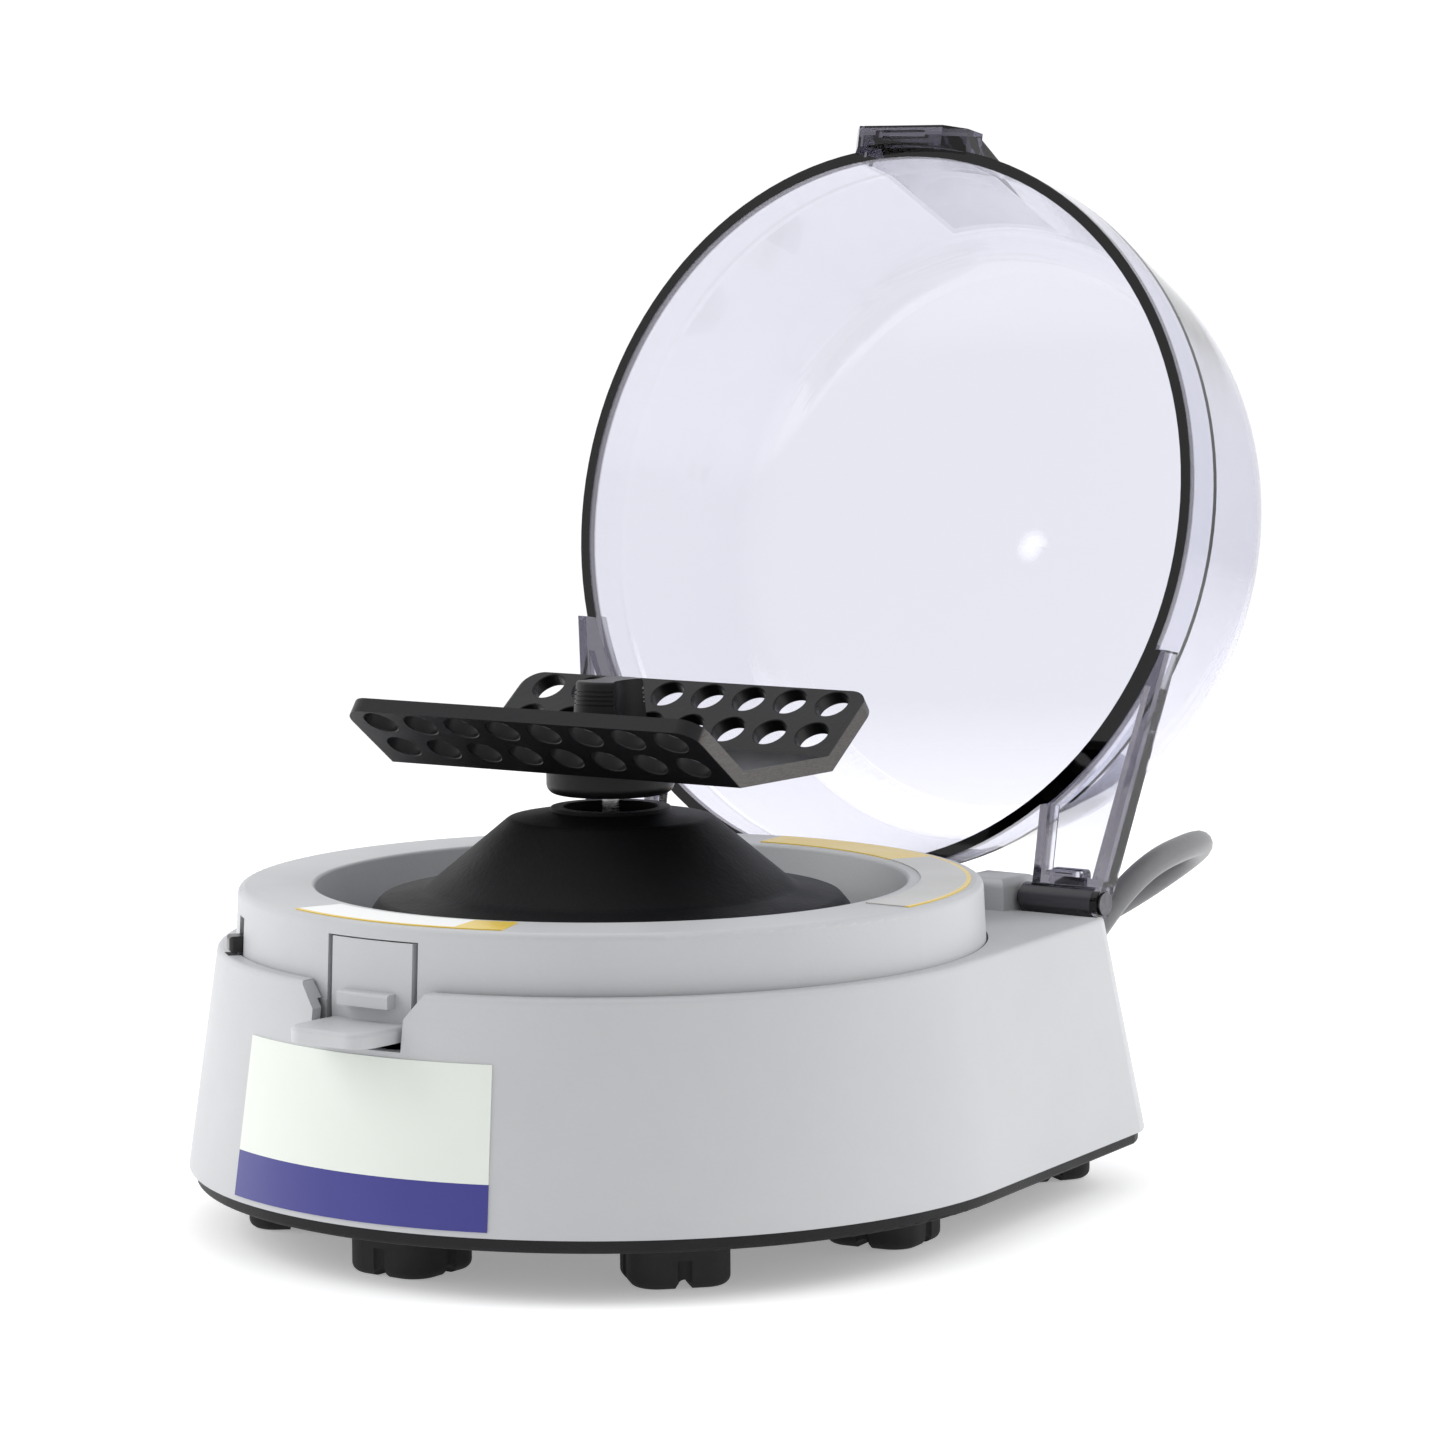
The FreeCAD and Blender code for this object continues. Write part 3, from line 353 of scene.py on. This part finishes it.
def smoke_clear():
    """See-through smoky plastic, with a near-black shade painted on at the rim, where light runs along the
    wall.
    """
    shader = Shader("smoke_clear", Transmission_Weight=1.0, IOR=1.49)
    haze = shader.noise(9.0, 3.0)
    scuffs = shader.noise(1.0, 4.0, 0.7, shader.stretched((30.0, 260.0, 260.0)))
    clear = shader.ramp(haze, [(0.3, LID_TINT), (0.7, tuple(c + 0.015 for c in LID_TINT))])
    from_rim = shader.add("ShaderNodeVectorMath", {0: shader.coords, 1: LID_RIM}, operation="SUBTRACT")
    depth = shader.add("ShaderNodeVectorMath", {0: from_rim.outputs[0], 1: LID_AXIS}, operation="DOT_PRODUCT")
    # Painted shade: mask of the rim band that is coloured near black below
    painted_rim_shade = shader.value(depth.outputs["Value"], 1.0, 0.0, (PAINTED_RIM_SHADE_DEPTH, PAINTED_RIM_SHADE_DEPTH + 0.0006))
    height = shader.add("ShaderNodeVectorMath", {0: from_rim.outputs[0], 1: LID_UP}, operation="DOT_PRODUCT")
    beside = shader.maths("ABSOLUTE", shader.axis("X"))
    in_panel = shader.maths("LESS_THAN", beside, PANEL_HALF)
    for measure, limit, test in (
        (height.outputs["Value"], PANEL_LOW, "GREATER_THAN"),
        (depth.outputs["Value"], PANEL_DEPTH, "LESS_THAN"),
    ):
        in_panel = shader.maths("MULTIPLY", in_panel, shader.maths(test, measure, limit))
    frosted = shader.ramp(shader.noise(40.0, 4.0), [(0.3, (0.66, 0.66, 0.73)), (0.7, (0.74, 0.74, 0.80))])
    panelled = shader.mix(in_panel, clear, frosted)
    # Painted shade: the rim band gets a near-black colour in place of the optical darkening
    shader.set("Base Color", shader.mix(painted_rim_shade, panelled, (0.07, 0.065, 0.075, 1.0)))
    shader.set("Roughness", shader.value(scuffs, 0.015, 0.05))
    shader.bump((shader.noise(14.0, 1.0), 0.00008))
    body = shader.add("ShaderNodeVolumeAbsorption", {"Color": (0.35, 0.33, 0.43, 1.0), "Density": 110.0})
    shader.tree.links.new(body.outputs[0], shader.tree.nodes["Material Output"].inputs["Volume"])
    return shader.material


def ground_steel():
    shader = Shader("ground_steel", Metallic=1.0, Anisotropic=0.5)
    lines = shader.noise(1.0, 3.0, 0.6, shader.stretched((400.0, 400.0, 9000.0)))
    shader.set("Base Color", shader.ramp(lines, [(0.3, (0.52, 0.52, 0.53)), (0.7, (0.68, 0.68, 0.69))]))
    shader.set("Roughness", shader.value(lines, 0.18, 0.34))
    shader.bump((lines, 0.000008))
    return shader.material


def pin_steel():
    """Steel with turning marks, for the pins that carry the lid, coloured far darker than its real shine:
    painted shade that dulls its bright reflection.
    """
    shader = Shader("pin_steel", Metallic=0.9)
    marks = shader.noise(1.0, 3.0, 0.6, shader.stretched((3000.0, 900.0, 900.0)))
    # Painted shade: dark steel tones that hold back the pin's bright reflection
    shader.set("Base Color", shader.ramp(marks, [(0.3, (0.10, 0.10, 0.11)), (0.7, (0.17, 0.17, 0.18))]))
    shader.set("Roughness", shader.value(marks, 0.28, 0.42))
    shader.bump((marks, 0.00001))
    return shader.material


def zinc_steel():
    shader = Shader("zinc_steel", Metallic=1.0)
    cells = shader.add("ShaderNodeTexVoronoi", {"Vector": shader.coords, "Scale": 220.0}).outputs["Distance"]
    shader.set("Base Color", shader.ramp(cells, [(0.0, (0.48, 0.48, 0.49)), (0.6, (0.62, 0.62, 0.61))]))
    shader.set("Roughness", shader.value(shader.noise(300.0), 0.28, 0.48))
    shader.bump((cells, 0.00001))
    return shader.material


def film_label(name, colour):
    """Printed film with a soft gloss and a very slight ripple."""
    shader = Shader(name, Coat_Weight=0.35, Coat_Roughness=0.12)
    shader.set("Roughness", shader.value(shader.noise(80.0), 0.30, 0.42))
    shader.set("Base Color", colour(shader))
    shader.bump((shader.noise(45.0, 2.0), 0.00005), (shader.noise(1800.0, 1.0), 0.00001))
    return shader.material


def front_label():
    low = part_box("front_label")[0].z
    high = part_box("front_label")[1].z

    def colour(shader):
        height = shader.value(shader.axis("Z"), 0.0, 1.0, (low, high))
        pale = shader.ramp(shader.noise(30.0), [(0.3, (0.70, 0.735, 0.675)), (0.7, (0.73, 0.765, 0.71))])
        blue = shader.ramp(shader.noise(30.0), [(0.3, (0.026, 0.024, 0.20)), (0.7, (0.032, 0.030, 0.23))])
        band = shader.ramp(height, [(0.0, (1, 1, 1)), (0.285, (0, 0, 0))], "CONSTANT")
        return shader.mix(band, pale, blue)

    return film_label("front_label_film", colour)


def ring_label(name, pale, edge_degrees):
    """Ring label that is pale up to an angle from the front, yellow beyond it and along its edge."""

    def colour(shader):
        around = shader.maths("ARCTAN2", shader.axis("X"), shader.maths("MULTIPLY", shader.axis("Y"), -1.0))
        turn = shader.maths("MODULO", shader.maths("ADD", around, 2 * math.pi), 2 * math.pi)
        if edge_degrees < 90:
            turn = around
        beyond = shader.maths("GREATER_THAN", turn, math.radians(edge_degrees))
        flatten = {0: shader.coords, 1: (1.0, 1.0, 0.0)}
        flat = shader.add("ShaderNodeVectorMath", flatten, operation="MULTIPLY").outputs[0]
        radius = shader.add("ShaderNodeVectorMath", {0: flat}, operation="LENGTH").outputs["Value"]
        border = shader.maths("GREATER_THAN", radius, YELLOW_EDGE)
        beyond = shader.maths("MAXIMUM", beyond, border)
        base = shader.ramp(shader.noise(40.0), [(0.3, pale), (0.7, tuple(c * 1.05 for c in pale))])
        yellow = shader.ramp(shader.noise(40.0), [(0.3, (0.72, 0.50, 0.03)), (0.7, (0.78, 0.56, 0.05))])
        return shader.mix(beyond, base, yellow)

    return film_label(name, colour)


def cord_pvc():
    return moulded("cord_pvc", (0.160, 0.160, 0.165), (0.190, 0.190, 0.195), (0.34, 0.46), 700.0, 0.00006)


def gland_pvc():
    return moulded("gland_pvc", (0.085, 0.085, 0.090), (0.105, 0.105, 0.110), (0.45, 0.55))


def enamel_copper():
    shader = Shader("enamel_copper", Metallic=0.9, Coat_Weight=0.5)
    winding = {"Vector": shader.coords, "Scale": 500.0}
    wires = shader.add("ShaderNodeTexWave", winding, bands_direction="Z").outputs["Fac"]
    shader.set("Base Color", shader.ramp(wires, [(0.0, (0.25, 0.08, 0.03)), (1.0, (0.62, 0.27, 0.12))]))
    shader.set("Roughness", shader.value(shader.noise(200.0), 0.3, 0.45))
    shader.bump((wires, 0.0001))
    return shader.material


def sintered(name, dark, light, metallic):
    shader = Shader(name, Metallic=metallic)
    pores = shader.noise(2500.0, 3.0)
    shader.set("Base Color", shader.ramp(pores, [(0.35, dark), (0.6, light)]))
    shader.set("Roughness", shader.value(pores, 0.4, 0.6))
    shader.bump((pores, 0.00003))
    return shader.material


def bronze():
    return sintered("bronze", (0.30, 0.17, 0.07), (0.55, 0.36, 0.18), 0.9)


def ferrite():
    return sintered("ferrite", (0.02, 0.02, 0.022), (0.05, 0.05, 0.052), 0.0)


def circuit_green():
    shader = Shader("circuit_green", Coat_Weight=0.4)
    tracks = shader.add("ShaderNodeTexBrick", {
        "Vector": shader.coords, "Scale": 160.0, "Mortar Size": 0.03,
        "Color1": (0.010, 0.085, 0.035, 1), "Color2": (0.012, 0.10, 0.04, 1), "Mortar": (0.03, 0.16, 0.06, 1),
    })
    shader.set("Base Color", tracks.outputs["Color"])
    shader.set("Roughness", shader.value(shader.noise(100.0), 0.3, 0.45))
    shader.bump((tracks.outputs["Fac"], 0.00003))
    return shader.material


def component_black():
    return moulded("component_black", (0.012, 0.012, 0.014), (0.02, 0.02, 0.022), (0.4, 0.55))


# ---------- pieces ----------

def coil_points():
    """Turns beside and on each other; each steps to its next place a little before the one below."""
    turns = len(TURN_PLACES) - 1
    points = []
    control = 1 / math.cos(math.pi / POINTS_PER_TURN)
    last = int((turns - LAST_TURN_CUT) * POINTS_PER_TURN)
    for i in range(last):
        turn, step = divmod(i, POINTS_PER_TURN)
        part = step / POINTS_PER_TURN
        step_at = STEP_AT - STEP_EARLIER * turn
        share = min(max((part - step_at + STEP_WIDTH / 2) / STEP_WIDTH, 0.0), 1.0)
        place, after = TURN_PLACES[turn], TURN_PLACES[turn + 1]
        radius = place[0] * (1 - share) + after[0] * share
        height = place[1] * (1 - share) + after[1] * share
        angle = 2 * math.pi * part
        x = COIL_CENTRE[0] - radius * control * math.sin(angle)
        y = COIL_CENTRE[1] - radius * control * math.cos(angle)
        points.append((x, y, height))
    return points


def make_cord():
    data = bpy.data.curves.new("mains_cord", "CURVE")
    data.dimensions = "3D"
    data.bevel_depth = CORD_D / 2
    data.bevel_resolution = 5
    data.resolution_u = 12
    data.use_fill_caps = True
    points = LEAD + coil_points() + TAIL
    spline = data.splines.new("NURBS")
    spline.points.add(len(points) - 1)
    for point, place in zip(spline.points, points):
        point.co = (*place, 1.0)
    spline.order_u = 3
    spline.use_endpoint_u = True
    cord = bpy.data.objects.new("mains_cord", data)
    bpy.context.scene.collection.objects.link(cord)
    data.materials.append(cord_pvc())
    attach(cord, "base")
    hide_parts("cord_lead", "cord_coil", "cord_tail")
    return cord


def paint(material, *names):
    for name in names:
        NODES[name].data.materials.clear()
        NODES[name].data.materials.append(material)


def paint_nodes():
    steel, zinc, black = ground_steel(), zinc_steel(), component_black()
    paint(housing_abs(), "outer_housing", "drum_housing", "latch_tongue")
    paint(black_base(), "base_plate")
    paint(black_shroud(), "cone_shroud")
    paint(foot_rubber(), "feet", "motor_mounts")
    paint(rotor_black(), "strip_rotor", "rotor_hub", "rotor_knob")
    paint(plunger_black(), "lid_plunger")
    paint(barrel_dark(), "hinge_barrels")
    paint(smoke_clear(), "lid_shell")
    paint(steel, "motor_shaft")
    paint(pin_steel(), "hinge_pins")
    paint(zinc, "base_screws", "motor_can", "motor_plate", "motor_screws")
    paint(zinc, "board_standoffs", "switch_bracket")
    paint(front_label(), "front_label")
    paint(ring_label("ring_label_white", (0.80, 0.81, 0.80), 13.0), "ring_label_front")
    paint(ring_label("ring_label_grey", (0.44, 0.44, 0.40), 150.0), "ring_label_rear")
    paint(gland_pvc(), "strain_relief", "power_plug")
    paint(sintered("blade_brass", (0.55, 0.50, 0.40), (0.70, 0.66, 0.56), 1.0), "plug_blades")
    paint(enamel_copper(), "motor_armature")
    paint(bronze(), "motor_bushes")
    paint(ferrite(), "motor_magnets")
    paint(circuit_green(), "circuit_board")
    paint(black, "board_parts", "lid_switch", "motor_end_cap")


make_camera()
cord = make_cord()
make_studio()
paint_nodes()
